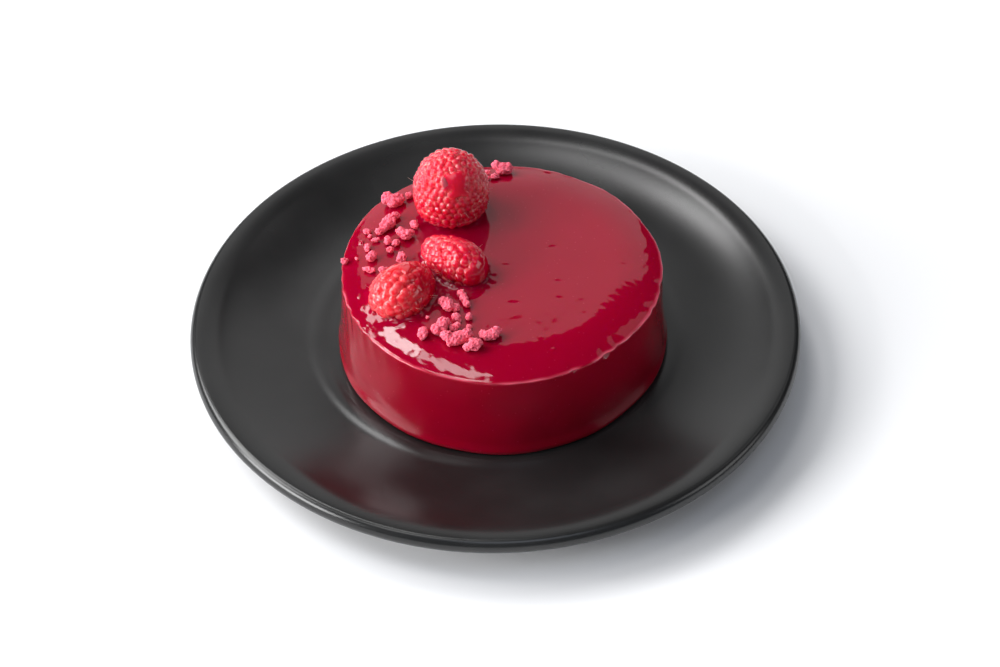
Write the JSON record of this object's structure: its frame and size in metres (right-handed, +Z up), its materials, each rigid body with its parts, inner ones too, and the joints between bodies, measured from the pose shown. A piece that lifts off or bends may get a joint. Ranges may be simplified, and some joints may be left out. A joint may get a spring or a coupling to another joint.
{
  "type": "raspberry cake",
  "caption": "Round mousse cake under a raspberry mirror glaze, topped with raspberries and dried crumbs, on its dark coupe plate.",
  "frame": {"origin": "centre of the plate's foot ring, on the surface it stands on", "axes": "+Z up along the plate's axis; the cake's front faces -Y and +X is to its right"},
  "size_m": [0.153, 0.153, 0.0522],
  "materials": {
    "plate_glaze": "satin black glaze",
    "cake_glaze": "mirror-gloss fruit glaze",
    "raspberry": "moist fruit skin"
  },
  "bodies": {
    "root": {"plate": "plate_glaze", "cake": "cake_glaze", "raspberry_tall": "raspberry", "raspberry_middle": "raspberry", "raspberry_front": "raspberry"}
  },
  "joints": []
}
